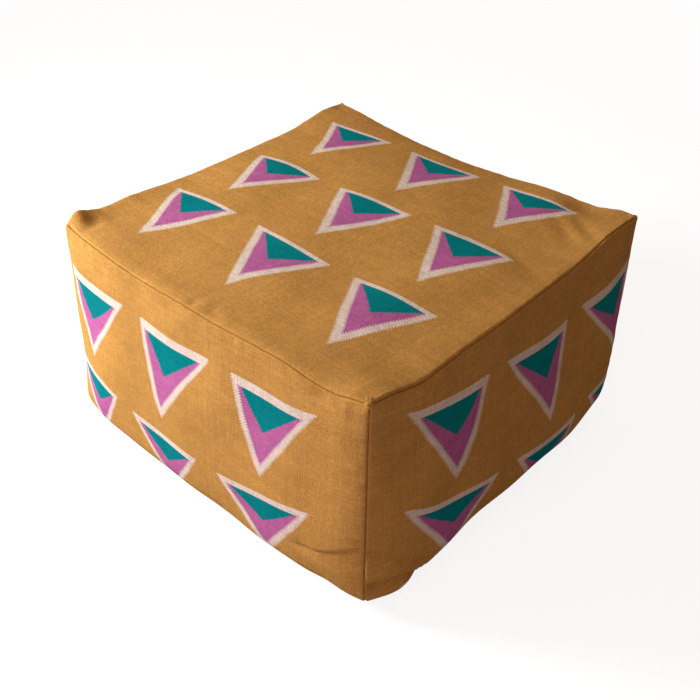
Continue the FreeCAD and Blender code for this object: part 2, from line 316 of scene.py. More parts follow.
# Rise and fall of the top seam in millimetres, along each side from its left end at -1 to its right at 1.
SEAM_LIFT = {
    "front": (
        (-1, -3), (-0.7, 0), (-0.4, -2), (-0.07, 1), (0.14, 1), (0.35, 5), (0.55, 6),
        (0.7, -1), (0.82, -3), (0.94, 3), (1, 2),
    ),
    "right": (
        (-1, 2), (-0.88, 2), (-0.7, -7), (-0.4, -1), (-0.2, -2),
        (0.45, 1), (0.72, 11), (0.86, 8), (1, 0),
    ),
    "back": (
        (-1, 0), (-0.92, 4), (-0.8, -1), (-0.45, 1), (-0.3, -4), (0.05, -10), (0.4, -8),
        (0.7, -3), (0.86, 1), (1, -1),
    ),
    "left": (
        (-1, -1), (-0.88, 5), (-0.75, 4), (-0.6, -1), (0.2, -1),
        (0.6, 6), (0.76, 2), (0.92, 10), (1, -3),
    ),
}

# How finely the seam's line is followed, how far it is rounded in those steps, and its small unevenness.
LIFT_STEPS = 401
BELL_REACH, BELL_WIDTH = 24, 6.0
UNEVEN, UNEVEN_FADE = (24, 0.15), 8


def even_lifts():
    """The seam's rise and fall drawn as smooth lines, with the corners kept."""
    place = np.linspace(-1, 1, LIFT_STEPS)
    bell = np.exp(-0.5 * (np.arange(-BELL_REACH, BELL_REACH + 1) / BELL_WIDTH) ** 2)
    lines = {}
    for seed, (side, marks) in enumerate(SEAM_LIFT.items(), SEAM_SEED):
        at, rise = zip(*marks)
        line = np.interp(place, at, rise)
        before = 2 * line[0] - line[BELL_REACH:0:-1]
        after = 2 * line[-1] - line[-2 : -BELL_REACH - 2 : -1]
        smoothed = np.convolve(np.concatenate([before, line, after]), bell / bell.sum(), "valid")
        uneven = waves(seed, *UNEVEN)(place * HALF, 0)
        lines[side] = smoothed + uneven * (1 - np.abs(place) ** UNEVEN_FADE)
    return place, lines


LIFT_PLACE, LIFT_LINES = even_lifts()


def lift(side, s):
    return np.interp(s, LIFT_PLACE, LIFT_LINES[side])


def seam_z(side, s):
    return SEAM_Z + EAR * np.abs(s) ** EAR_POWER + lift(side, s)


def side_r(s, z, top):
    """How far a side panel stands from the pouf's middle, under a top edge of the given height."""
    share = np.clip((top - z) / (top - BELLY_Z), 0, 1)
    middle = 1 - np.abs(s) ** FULL_POWER
    swell = BELLY_CORNER + (BELLY - BELLY_CORNER) * (1 - np.abs(s) ** BELLY_POWER)
    fullness = FULL_CORNER + (FULL_MIDDLE - FULL_CORNER) * middle
    r = HALF + BOW * (1 - np.abs(s) ** BOW_POWER) * np.exp((z - top) / BOW_RUN)
    r = r + swell * np.sin(share * np.pi / 2) ** fullness
    corner = CORNER_LIP * np.exp(-(1 - np.abs(s)) * HALF / LIP_RUN)
    corner = corner * np.clip((top - z) / LIP_FADE, 0, 1) * np.clip(z / LIP_FADE, 0, 1)
    r = r + np.maximum(LIP * np.exp((z - top) / LIP_RUN), corner)
    away = (1 - np.abs(s)) * HALF / CORNER_RUN
    rounding = smooth(top - z, 0, ROUND_TOP) * smooth(z, 0, ROUND_BASE)
    r = r + CORNER_ROUND * away * np.exp(1 - away) * rounding
    low = np.clip((ROLL - z) / ROLL, 0, 1)
    return r - ROLL * (1 - np.sqrt(1 - low * low))


def unit(v):
    return v / np.linalg.norm(v, axis=-1, keepdims=True)


def tangent(line):
    return unit(np.gradient(line, axis=0))


def curl(start, before, inward, edge, steps=5):
    """Offsets from a panel's last line of points, for a cloth edge that rolls over into a seam.

    before is the line of points next to the last one, inward points into the seam, and edge is the seam.
    """
    along = tangent(edge)
    ways = (start - before, inward)
    out, inward = (unit(way - (way * along).sum(-1, keepdims=True) * along) for way in ways)
    turn = np.arccos(np.clip((out * inward).sum(-1, keepdims=True), -1, 1))
    normal = (np.cos(turn) * out - inward) / np.sin(turn)
    across = np.sin(turn) * out + np.cos(turn) * normal
    reach = -((start - edge) * across).sum(-1, keepdims=True)
    radius = np.maximum((reach - GAP / 2) / (1 - np.cos(turn)), LEAST_CURL)
    offsets, run = [], []
    for k in range(1, steps + 1):
        a = turn * k / steps
        offsets.append(radius * (np.sin(a) * out + (np.cos(a) - 1) * normal))
        run.append(radius * a)
    for d in (TAIL / 3, TAIL):
        offsets.append(offsets[steps - 1] + inward * d)
        run.append(run[steps - 1] + d)
    return np.stack(offsets), np.stack(run)[..., 0], offsets[steps - 1] + across * GAP / 2


def framed(points, top, bottom, left, right):
    """A grid of points with its four rolled edges, each an array of offsets from the grid's own edge."""
    tall = np.concatenate([(points[:1] + top)[::-1], points, points[-1:] + bottom])

    def side(offsets):
        first = np.repeat(offsets[:, :1], len(top), axis=1)
        last = np.repeat(offsets[:, -1:], len(bottom), axis=1)
        return np.concatenate([first, offsets, last], axis=1).transpose(1, 0, 2)

    return np.concatenate([(tall[:, :1] + side(left))[:, ::-1], tall, tall[:, -1:] + side(right)], axis=1)


def linked(name, data):
    """A new object in the scene."""
    made = bpy.data.objects.new(name, data)
    bpy.context.scene.collection.objects.link(made)
    return made


def mesh_object(name, points, faces):
    mesh = bpy.data.meshes.new(name)
    mesh.from_pydata((points * MM).tolist(), [], faces)
    mesh.polygons.foreach_set("use_smooth", np.ones(len(mesh.polygons), bool))
    mesh.update()
    return linked(name, mesh)


def grid_object(name, points, flip, thickness, **layers):
    """A sheet whose outside is a grid of points, with layers of coordinates for its material."""
    rows, cols = points.shape[:2]
    index = np.arange(rows * cols).reshape(rows, cols)
    quads = np.stack([index[:-1, :-1], index[:-1, 1:], index[1:, 1:], index[1:, :-1]], -1).reshape(-1, 4)
    if flip:
        quads = quads[:, ::-1]
    made = mesh_object(name, points.reshape(-1, 3), quads.tolist())
    loops = np.zeros(len(made.data.loops), np.int32)
    made.data.loops.foreach_get("vertex_index", loops)
    for layer_name, uv in layers.items():
        layer = made.data.uv_layers.new(name=layer_name)
        layer.data.foreach_set("uv", uv.reshape(-1, 2)[loops].astype(np.float32).ravel())
    thicken(made, thickness)
    return made


def thicken(piece, thickness):
    solid = piece.modifiers.new("thickness", "SOLIDIFY")
    solid.thickness = thickness * MM
    solid.offset = -1
    solid.use_even_offset = False


def turned(points, quarters):
    for _ in range(quarters):
        points = np.stack([-points[..., 1], points[..., 0], points[..., 2]], -1)
    return points


def normals(points):
    along = np.gradient(points, axis=1)
    down = np.gradient(points, axis=0)
    return unit(np.cross(along, down))


# Dents (minus) and swellings of each panel, in millimetres: place, height, reach along and across, turn.
DENTS = {
    "top": (
        (-230, -226, -3.8, 8, 8, 0),
        (-243, -238, 4.5, 11, 11, 0),
        (-16, -241, -1.8, 6, 5, 0),
        (16, -240, -2.0, 6, 5, 0),
        (187, 236, -4.5, 16, 12, 0),
        (149, 226, 1.5, 16, 14, 0),
        (200, 169, -2.2, 26, 7, -38),
        (219, 186, -2.4, 26, 6, -35),
        (195, 79, -1.7, 24, 7, -25),
        (-214, 150, -1.5, 30, 16, 40),
        (228, -226, 2.0, 16, 16, 0),
        (-120, -215, -1.6, 30, 18, 0),
    ),
    "front": (
        (190, 13, -2.6, 11, 5, 8),
        (226, 13, 2.2, 18, 9, 0),
        (204, 70, -2.6, 20, 40, 12),
        (171, 240, -3.0, 14, 8, -25),
        (209, 240, -1.6, 34, 16, -25),
        (-108, 16, -1.4, 10, 8, 0),
        (-42, 10, -1.2, 9, 7, 0),
    ),
    "right": (
        (-232, 13, 3.0, 11, 8, 0),
        (-171, 22, 3.0, 24, 9, 0),
        (-190, 94, -3.0, 12, 28, 60),
        (-205, 40, -1.6, 12, 14, 0),
        (-196, 254, 5.0, 44, 12, 13),
        (200, 30, 1.5, 24, 16, 0),
    ),
    "back": (
        (-150, 24, 2.4, 24, 10, 0),
        (-205, 52, -3.0, 16, 22, 0),
        (60, 14, -1.5, 10, 8, 0),
        (212, 16, 2.6, 14, 9, 0),
    ),
    "left": (
        (-214, 15, 2.8, 14, 9, 0),
        (20, 16, -1.5, 10, 8, 0),
        (206, 50, -2.6, 16, 20, 0),
        (160, 20, 2.0, 22, 9, 0),
    ),
}

# Creases: from and to, height of the ridge above the line and depth of the fold below it.
CREASES = {
    "top": ((-252, 168, -226, 208, 0.9, 1.6),),
    "front": ((160, 244, 256, 202, 1.2, 1.6),),
    "right": ((-256, 202, -160, 266, 1.4, 4.2),),
    "back": ((180, 246, 256, 214, 1.2, 3.0), (-256, 222, -190, 250, 1.2, 3.0)),
    "left": ((176, 242, 256, 210, 1.2, 3.0), (-256, 218, -186, 252, 1.2, 3.0)),
}
RIDGE_RUN = 13.0
FOLD_RUN = 9.0
CREASE_TURN = 2.2
CREASE_END = 14

# Tucks: from and to, how far the cloth below the line turns in, and the widths of the turn and of the hollow.
TUCKS = {"right": ((-258, 257, -132, 285, 13.0, 6.0, 44.0),)}
TUCK_END = 30


def beside(u, v, u0, v0, u1, v1):
    """How far places on a panel lie along a line, from its far end, and below it."""
    length = math.hypot(u1 - u0, v1 - v0)
    du, dv = (u1 - u0) / length, (v1 - v0) / length
    along = du * (u - u0) + dv * (v - v0)
    below = du * (v - v0) - dv * (u - u0)
    return along, length - along, below


def dents(panel, u, v):
    """How far a panel's dents, swellings, creases and tucks move its cloth outwards."""
    push = np.zeros(np.shape(v))
    for u0, v0, height, long, short, turn in DENTS[panel]:
        c, s = math.cos(math.radians(turn)), math.sin(math.radians(turn))
        along = (c * (u - u0) + s * (v - v0)) / long
        across = (c * (v - v0) - s * (u - u0)) / short
        push = push + height * np.exp(-0.5 * (along**2 + across**2))
    for *line, ridge, fold in CREASES[panel]:
        along, left, below = beside(u, v, *line)
        above = ridge * np.exp(-np.abs(below) / RIDGE_RUN)
        under = -fold * np.exp(-np.abs(below) / FOLD_RUN)
        part = smooth(below, -CREASE_TURN, CREASE_TURN)
        ends = smooth(along, -CREASE_END, CREASE_END) * smooth(left, -CREASE_END, CREASE_END)
        push = push + ends * (above * (1 - part) + under * part)
    for *line, depth, width, hollow in TUCKS.get(panel, ()):
        along, left, below = beside(u, v, *line)
        ends = smooth(along, 0, TUCK_END) * smooth(left, 0, TUCK_END)
        push = push - depth * ends * smooth(below, 0, width) * (1 - smooth(below, width, hollow))
    return push


# Where the filling has shifted and pushes the whole cover: middle, reach and move, in millimetres.
SHIFTS = (
    ((258, 258, 255), (62, 62, 80), (4.5, 4.5, 0)),
    ((276, 105, 62), (60, 80, 46), (8, 0, 0)),
    ((255, -196, 12), (34, 36, 15), (16, -1, 0)),
    ((206, -262, 14), (16, 30, 22), (0, 3.5, 0)),
    ((-252, -252, 42), (36, 36, 30), (-3.5, -3.5, 0)),
    ((-258, -258, 105), (60, 60, 50), (2.4, 2.4, 0)),
    ((-256, -256, 325), (40, 40, 16), (3, 3, 0)),
)

# The bag gives way behind the tuck.
TUCK_ROOM = ((258, -188, 42), (60, 62, 36), (-17, 0, 0))


def moved(points, middle, reach, move):
    """How a shift of the filling moves points."""
    away = (((points - np.array(middle)) / np.array(reach)) ** 2).sum(-1, keepdims=True)
    return np.exp(-0.5 * away) * np.array(move)


def shifted(points):
    return points + sum(moved(points, *shift) for shift in SHIFTS)


seam_lines = {"top": [], "corner": [], "base": []}


def side_surface(side):
    """A side's smooth surface, placed as the front one.

    Gives its points, how far they lie along the seam, down from the top and up from the base, and both edges.
    """
    count = int(2 * HALF / STEP)
    end = 1 - CORNER_TURN_IN / HALF
    s = np.linspace(-end, end, count)
    share = np.linspace(0, 1, PROFILE_STEPS)[:, None]
    top = seam_z(side, s)[None] + LIP
    z = top + (BASE_SEAM - top) * share
    r = side_r(s[None], z, top)
    left_top, right_top = (seam_z(side, corner) + LIP for corner in (-1.0, 1.0))
    corner_top = left_top + (right_top - left_top) * (s[None] + 1) / 2
    x = s[None] * side_r(np.ones((1, 1)), corner_top + (BASE_SEAM - corner_top) * share, corner_top)
    curves = np.stack([x, -r, z], -1)
    run = np.vstack([np.zeros((1, count)), np.cumsum(np.hypot(np.diff(r, axis=0), np.diff(z, axis=0)), 0)])
    v = np.linspace(TURN_IN, run[-1] - BASE_TURN_IN, int(SIDE_RUN / STEP))
    points = np.zeros((*v.shape, 3))
    for j in range(count):
        for axis in range(3):
            points[:, j, axis] = np.interp(v[:, j], run[:, j], curves[:, j, axis])
    return points, np.broadcast_to(s * HALF, v.shape), v, run[-1] - v, curves[0], curves[-1]


def side_push(side, quarters, u, v, from_base):
    """How far a side's waves, puckers and dents move its cloth outwards."""
    from_side = HALF - np.abs(u)
    push = waves(SIDE_SEED + quarters, *SIDE_WAVES)(u, v)
    for distance in (v, from_base, from_side):
        push = push * smooth(distance, 0, SIDE_WAVE_FADE)
    pucker = waves(PUCKER_SEED + quarters, *SIDE_PUCKERS)
    for distance, puckered in ((v, pucker(u, SIDE_STRETCH * v)), (from_side, pucker(SIDE_STRETCH * u, v))):
        push = push + puckered * np.exp(-distance / PUCKER_RUN) * smooth(distance, 0, PUCKER_START)
    return push + dents(side, u, v)


def side_panel(side, quarters, pattern):
    """One side panel, made as the front one and turned into place."""
    points, u, v, from_base, top_edge, base_edge = side_surface(side)
    rows, count = v.shape
    outward = -normals(points)
    points = points + outward * side_push(side, quarters, u, v, from_base)[..., None]
    inward = np.tile([0.0, DIAGONAL, -DIAGONAL], (count, 1))
    rise, rise_run, top_line = curl(points[0], points[1], inward, top_edge)
    fall, fall_run, base_line = curl(points[-1], points[-2], -outward[-1], base_edge)
    corners = []
    for column, before, way in ((0, 1, 1.0), (-1, -2, -1.0)):
        inward = np.tile([way * DIAGONAL, DIAGONAL, 0.0], (rows, 1))
        last = points[:, column]
        edge = np.stack([last[:, 0], -np.abs(last[:, 0]), last[:, 2]], -1)
        corners.append(curl(last, points[:, before], inward, edge))
    left, left_run, _ = corners[0]
    right, right_run, corner_line = corners[1]
    whole = framed(points, rise, fall, left, right)
    k = len(rise)
    v_all = np.concatenate([v[:1] - rise_run[::-1], v, v[-1:] + fall_run])
    v_all = np.pad(v_all, ((0, 0), (k, k)), "edge")
    u_line = np.concatenate([u[0, 0] - left_run[::-1, 0], u[0], u[0, -1] + right_run[:, 0]])
    s_all = np.broadcast_to(u_line / HALF, v_all.shape)
    threads = np.stack([s_all * HALF, v_all], -1) * MM
    whole = shifted(turned(whole, quarters))
    places = np.stack([s_all * HALF, v_all - lift(side, s_all)], -1)
    if side == pattern:
        fit_weave(pattern, whole[k:-k, k:-k], places[k:-k, k:-k])
    ends = (
        ("top", points[0], top_line),
        ("base", points[-1], base_line),
        ("corner", points[:, -1], corner_line),
    )
    for seam, last, offset in ends:
        seam_lines[seam].append(shifted(turned(last + offset, quarters)))
    return grid_object(side + "_cover", whole, True, CLOTH, threads=threads, weave=drift(pattern, places))


def top_lift(a, b):
    """The seams' rise and fall, dying out towards the middle of the top."""
    total, weight = 0.0, 0.0
    ways = (("front", 1 + b, a), ("right", 1 - a, b), ("back", 1 - b, -a), ("left", 1 + a, -b))
    for side, across, along in ways:
        near = 1 / (HALF * across + NEAREST) ** 2
        total = total + near * lift(side, along)
        weight = weight + near
    from_edge = HALF * (1 - np.maximum(np.abs(a), np.abs(b)))
    return total / weight * np.exp(-from_edge / LIFT_RUN)


def top_edge_r(t):
    return HALF + LIP + BOW * (1 - np.abs(t) ** BOW_POWER)


def top_panel(name):
    """The top panel, its four edges rolled into the seam."""
    count = int(2 * HALF / STEP)
    end = 1 - TURN_IN / HALF
    line = np.linspace(-end, end, count)
    a, b = np.meshgrid(line, line, indexing="xy")
    z = SEAM_Z + LIP + EAR * np.abs(a * b) ** EAR_POWER + top_lift(a, b)
    points = np.stack([a * top_edge_r(b), b * top_edge_r(a), z], -1)
    from_edge = HALF * (1 - np.maximum(np.abs(a), np.abs(b)))
    u, v = a * HALF, b * HALF
    push = smooth(from_edge, 0, TOP_WAVE_FADE) * waves(TOP_SEED, *TOP_WAVES)(u, v)
    pucker = waves(PUCKER_SEED, *TOP_PUCKERS)
    for across, along in ((a, v), (b, u)):
        near = HALF * (1 - np.abs(across))
        puckered = pucker(along, TOP_STRETCH * near)
        push = push + puckered * np.exp(-near / PUCKER_RUN) * smooth(near, 0, PUCKER_START)
    push = push + dents("top", u, v)
    from_front = HALF * (1 + b)
    shoulder = SHOULDER * smooth(from_front, SHOULDER_FOOT, SHOULDER_START)
    shoulder = shoulder * np.exp(-np.maximum(from_front - SHOULDER_START, 0) / SHOULDER_RUN)
    push = push + shoulder * smooth(HALF * (1 - a), 0, SHOULDER_RUN)
    points[..., 2] += push
    full = top_edge_r(line)
    reach = line * top_edge_r(1.0)
    ways = (
        ("front", line, (reach, -full), points[0], points[1], (0, 1)),
        ("back", -line, (reach, full), points[-1], points[-2], (0, -1)),
        ("left", -line, (-full, reach), points[:, 0], points[:, 1], (1, 0)),
        ("right", line, (full, reach), points[:, -1], points[:, -2], (-1, 0)),
    )
    rolled = []
    for side, s, edge, last, before, inward in ways:
        edge = np.stack([*edge, seam_z(side, s) + LIP], -1)
        inward = np.tile(np.array([*inward, -1]) * DIAGONAL, (count, 1))
        rolled.append(curl(last, before, inward, edge))
    whole = framed(points, *(offsets for offsets, _, _ in rolled))
    run = rolled[0][1][:, count // 2] / HALF
    long_line = np.concatenate([line[0] - run[::-1], line, line[-1] + run])
    wide, deep = np.meshgrid(long_line, long_line, indexing="xy")
    whole = shifted(whole)
    places = np.stack([wide, deep], -1) * HALF
    k = len(run)
    fit_weave("top", whole[k:-k, k:-k], places[k:-k, k:-k])
    return grid_object(name, whole, False, CLOTH, threads=places * MM, weave=drift("top", places))


def base_reach(s):
    """Half width of the base at its seam."""
    return side_r(s, np.full(np.shape(s), BASE_SEAM), SEAM_Z)


def base_half(name, back):
    """Half of the base, hemmed round the zip."""
    end = 1 - BASE_TURN_IN / HALF
    line = np.linspace(-end, end, int(2 * HALF / STEP))
    rows = int(HALF / STEP)
    opening = np.where(np.abs(line) * base_reach(np.ones(1)) < SLOT_END, SLOT_HALF, GAP / 2 + HEM_ROOM)
    start = opening / base_reach(line)
    b = -(start[None] + (end - start[None]) * np.linspace(0, 1, rows)[:, None])
    a = np.broadcast_to(line, b.shape)
    x = a * base_reach(b)
    y = b * base_reach(a)
    # The cloth rises on the roll near its outer edge.
    roll_out = math.sqrt(ROLL**2 - (ROLL - BASE_SEAM) ** 2)
    over_x = np.abs(x) - (base_reach(b) - roll_out)
    over_y = np.abs(y) - (base_reach(a) - roll_out)
    over = np.maximum(np.maximum(over_x, over_y), 0)
    z = ROLL - np.sqrt(np.maximum(ROLL**2 - over**2, 0))
    points = np.stack([x, y, z + BASE_RISE], -1)
    away = np.minimum(HALF * (1 - np.abs(a)), HALF * (1 + b))
    calm = smooth(away, 0, BASE_WAVE_FADE) * smooth(np.abs(y) - BASE_WAVE_START, 0, BASE_WAVE_FADE)
    wave = (1 + waves(BASE_SEED, *BASE_WAVES)(x, y)).clip(0, BASE_WAVE_MOST)
    points[..., 2] += BASE_WAVE_RISE * calm * wave
    stitched = np.exp(-(((np.abs(y) - STITCH_Y) / DIP_WIDTH) ** 2)) * (np.abs(x) < SLOT_END - ZIP_STITCH_END)
    points[..., 2] += DIP * stitched
    outward = normals(points)
    outward = outward * np.sign(-outward[..., 2:3])
    level = np.full(len(line), BASE_SEAM)
    outer_edge = np.stack([line * base_reach(np.ones(1)), -base_reach(line), level], -1)
    fall, _, _ = curl(points[-1], points[-2], -outward[-1], outer_edge)
    ends = []
    for column, before, way in ((0, 1, -1.0), (-1, -2, 1.0)):
        last = points[:, column]
        edge = np.stack([way * base_reach(b[:, 0]), points[:, 0, 1], np.full(rows, BASE_SEAM)], -1)
        ends.append(curl(last, points[:, before], -outward[:, column], edge)[0])
    turn = np.linspace(0, np.pi, HEM_STEPS + 1)[1:]
    hem = np.stack([np.zeros_like(turn), HEM_RADIUS * np.sin(turn), HEM_RADIUS * (1 - np.cos(turn))], -1)
    hem = np.concatenate([hem, [(0, -far, 2 * HEM_RADIUS) for far in HEM_LINES]])
    inner = np.repeat(hem[:, None], len(line), 1)
    whole = framed(points, inner, fall, *ends)
    if back:
        whole = whole * np.array([1.0, -1, 1])
    return grid_object(name, shifted(whole), back, CLOTH, threads=whole[..., :2] * MM)


def remeshed(node, voxel):
    """Points, normals and faces of a fresh mesh of a solid's outside."""
    copy = linked("copy", nodes[node].data.copy())
    step = copy.modifiers.new("remesh", "REMESH")
    step.mode = "VOXEL"
    step.voxel_size = voxel * MM
    bpy.context.view_layer.update()
    evaluated = copy.evaluated_get(bpy.context.evaluated_depsgraph_get())
    mesh = bpy.data.meshes.new_from_object(evaluated)
    bpy.data.objects.remove(copy)
    found = []
    for kind in ("co", "normal"):
        values = np.zeros(len(mesh.vertices) * 3)
        mesh.vertices.foreach_get(kind, values)
        found.append(values.reshape(-1, 3))
    return found[0] / MM, found[1], [tuple(p.vertices) for p in mesh.polygons]


# The bag's pieces: the heights between which each lies in millimetres, and its flat size in metres.
BAND_LOW, BAND_HIGH = 44, 269
LINER = {
    "liner_top": (BAND_HIGH, math.inf, (0.55, 0.55)),
    "liner_band": (BAND_LOW, BAND_HIGH, (2.06, 0.24)),
    "liner_base": (-math.inf, BAND_LOW, (0.56, 0.56)),
}

# The filling's mesh, its inset from the solid and its lumps, and the bag's cloth outside it.
FILL_VOXEL = 7.0
FILL_INSET = 2.0
LUMPS = (34, 0.5)
FILL_LUMPS, LINER_LUMPS = 0.6, 0.3
LINER_OUT = 1.4
LINER_CLOTH = 0.7


def inner_bag():
    """The bead filling, lumpy, and the three cotton pieces of the bag round it."""
    points, normal, faces = remeshed("bead_fill", FILL_VOXEL)
    lumps = waves(LUMP_SEED, *LUMPS)
    bumps = lumps(points[:, 0] + points[:, 2], points[:, 1] - points[:, 2])[:, None]
    inset = points - normal * FILL_INSET
    inset = inset + moved(inset, *TUCK_ROOM)
    fill = mesh_object("bead_filling", inset + normal * bumps * FILL_LUMPS, faces)
    skin = inset + normal * (LINER_OUT + bumps * LINER_LUMPS)
    height = skin[:, 2]
    pieces = {}
    for node, (low, high, _) in LINER.items():
        chosen = [f for f in faces if low <= height[list(f)].mean() < high]
        used = sorted({i for f in chosen for i in f})
        place = {old: new for new, old in enumerate(used)}
        pieces[node] = mesh_object(node + "_cloth", skin[used], [tuple(place[i] for i in f) for f in chosen])
        thicken(pieces[node], LINER_CLOTH)
    return fill, pieces


def stitches(name, lines, radius, spare=0.0):
    """Rows of single stitches, each a short rounded length of thread, that stop short of the line's ends."""
    points, faces = [], []
    angles = np.linspace(0, 2 * np.pi, STITCH_SIDES, endpoint=False)
    last_ring = len(STITCH_RINGS) - 1
    for line in lines:
        run = np.concatenate([[0], np.cumsum(np.linalg.norm(np.diff(line, axis=0), axis=1))])
        count = int((run[-1] - STITCH_LENGTH - 2 * spare) / STITCH_PITCH)

        def on_line(far):
            return np.array([np.interp(far, run, line[:, k]) for k in range(3)])

        for i in range(count):
            middle = (i + 0.5) * STITCH_PITCH + (run[-1] - count * STITCH_PITCH) / 2
            before, at, after = (on_line(middle + d) for d in (-STITCH_PROBE, 0, STITCH_PROBE))
            along = unit(after - before)
            side = unit(np.cross(along, STITCH_LEAN))
            up = np.cross(along, side)
            first = len(points)
            for offset, size in STITCH_RINGS:
                for a in angles:
                    spread = (np.cos(a) * side + np.sin(a) * up) * radius * size
                    points.append(at + along * offset * STITCH_LENGTH + spread)
            for j in range(last_ring):
                this, other = (first + STITCH_SIDES * ring for ring in (j, j + 1))
                for k in range(STITCH_SIDES):
                    beyond = (k + 1) % STITCH_SIDES
                    faces.append((this + k, this + beyond, other + beyond, other + k))
            faces.append(tuple(first + k for k in reversed(range(STITCH_SIDES))))
            faces.append(tuple(first + STITCH_SIDES * last_ring + k for k in range(STITCH_SIDES)))
    return mesh_object(name, np.array(points), faces)


def zip_tape(name, side):
    """One tape of the zip, ribbed where it is sewn on."""
    x = np.linspace(-SLOT_END, SLOT_END, TAPE_STEPS)
    edge = [TAPE_IN + far for far in TAPE_EDGE]
    y = np.array([*edge, *np.linspace(TAPE_IN + TAPE_WOVEN, TAPE_OUT - TAPE_RIM, TAPE_ROWS), TAPE_OUT])
    across, along = np.meshgrid(y, x, indexing="xy")
    ribbed = smooth(across, TAPE_PLAIN, TAPE_RIBBED)
    z = TAPE_HIGH - TAPE_RIB * (1 + np.sin(along / TAPE_RIB_RUN)) * ribbed
    points = np.stack([along, side * across, z], -1)
    return grid_object(name, points, side > 0, TAPE_HIGH - TAPE_LOW, threads=points[..., :2] * MM)


class Nodes:
    """Short names for building the nodes of a material or of the world."""

    def __init__(self, name, kind="materials", shader="Principled BSDF"):
        self.owner = getattr(bpy.data, kind).new(name)
        self.owner.use_nodes = True
        self.tree = self.owner.node_tree
        self.shader = self.tree.nodes[shader]

    def new(self, kind, **values):
        node = self.tree.nodes.new(kind)
        for key, value in values.items():
            setattr(node, key, value)
        return node

    def put(self, socket, value):
        if isinstance(value, bpy.types.NodeSocket):
            self.tree.links.new(value, socket)
        else:
            socket.default_value = value

    def feed(self, node, sockets, values):
        for socket, value in zip(sockets, values):
            self.put(node.inputs[socket], value)

    def math(self, operation, *values):
        node = self.new("ShaderNodeMath", operation=operation)
        self.feed(node, range(len(values)), values)
        return node.outputs[0]

    def plus(self, a, b):
        return self.math("ADD", a, b)

    def times(self, a, *others):
        for b in others:
            a = self.math("MULTIPLY", a, b)
        return a

    def surface(self, name, value):
        self.put(self.shader.inputs[name], value)

    def mix(self, share, a, b, blend="MIX"):
        node = self.new("ShaderNodeMix", data_type="RGBA", blend_type=blend)
        # The numbers are the sockets for colours.
        self.feed(node, ("Factor", 6, 7), (share, a, b))
        return node.outputs[2]

    def shaded(self, colour, shade):
        return self.mix(1.0, colour, self.vector(shade, shade, shade), "MULTIPLY")

    def noise(self, vector, scale, detail=2.0, rough=0.5):
        node = self.new("ShaderNodeTexNoise")
        self.feed(node, ("Vector", "Scale", "Detail", "Roughness"), (vector, scale, detail, rough))
        return node.outputs["Fac"]

    def between(self, value, low, high, to_low=0.0, to_high=1.0):
        node = self.new("ShaderNodeMapRange")
        names = ("Value", "From Min", "From Max", "To Min", "To Max")
        self.feed(node, names, (value, low, high, to_low, to_high))
        return node.outputs[0]

    def vector(self, x, y, z=0.0):
        node = self.new("ShaderNodeCombineXYZ")
        self.feed(node, range(3), (x, y, z))
        return node.outputs[0]

    def place(self, layer=None):
        """Coordinates in millimetres, as a vector and as its parts, from a layer or from the object."""
        if layer:
            source = self.new("ShaderNodeUVMap", uv_map=layer).outputs[0]
        else:
            source = self.new("ShaderNodeTexCoord").outputs["Object"]
        scaled = self.new("ShaderNodeVectorMath", operation="SCALE")
        self.feed(scaled, (0, "Scale"), (source, 1 / MM))
        parts = self.new("ShaderNodeSeparateXYZ")
        self.put(parts.inputs[0], scaled.outputs[0])
        return scaled.outputs[0], parts.outputs

    def bump(self, height, distance, strength):
        node = self.new("ShaderNodeBump")
        self.feed(node, ("Height", "Distance", "Strength"), (height, distance * MM, strength))
        self.surface("Normal", node.outputs[0])


def chance(n, column, row, reach):
    """A value near 1, of its own for each thread or float of yarn."""
    node = n.new("ShaderNodeTexWhiteNoise", noise_dimensions="2D")
    n.put(node.inputs["Vector"], n.vector(column, row))
    return n.between(node.outputs["Value"], 0.0, 1.0, 1 - reach, 1 + reach)


def plain_weave(n, across, down, rib, pick, uneven):
    """Height and shade of a plain weave: cords at one pitch, and threads over and under them at another."""
    flat = n.vector(across, down)
    across = n.plus(across, n.between(n.noise(flat, 0.07, 3), 0.3, 0.7, -uneven, uneven))
    column = n.math("FLOOR", n.math("DIVIDE", across, rib))
    down = n.plus(down, n.times(n.math("MODULO", column, 2.0), pick / 2))
    down = n.plus(down, n.between(n.noise(flat, 0.09, 3), 0.3, 0.7, -uneven, uneven))
    row = n.math("FLOOR", n.math("DIVIDE", down, pick))
    cord = n.math("ABSOLUTE", n.math("SINE", n.times(across, math.pi / rib)))
    over = n.math("ABSOLUTE", n.math("SINE", n.times(down, math.pi / pick)))
    height = n.times(cord, over, chance(n, column, row, 0.5))
    shades = (chance(n, column, row, 0.13), chance(n, column, 0.5, 0.04), chance(n, 0.5, row, 0.05))
    return height, n.times(*shades)


def cloth_colour(n, base, where, parts, yarn, strength):
    """Thread-to-thread differences, slubs and slow changes of shade over a woven colour."""
    middle = n.between(n.noise(where, 0.05, 3), 0.3, 0.7, 1 - 0.5 * strength, 1 + 0.5 * strength)
    fine = n.between(n.noise(where, 0.35, 3, 0.7), 0.25, 0.75, 1 - strength, 1 + strength)
    slow = n.between(n.noise(where, 0.012, 2), 0.3, 0.7, 0.95, 1.05)
    shade = n.times(yarn, fine, n.times(middle, slow))
    slub = n.noise(n.vector(n.times(parts[0], 0.16), n.times(parts[1], 0.8)), 0.55, 1)
    light = n.between(slub, 0.7, 0.78, 0.0, 0.25)
    dark = n.between(slub, 0.29, 0.22, 0.0, 0.35)
    shade = n.times(shade, n.plus(1.0, n.math("SUBTRACT", light, dark)))
    return n.shaded(base, shade)


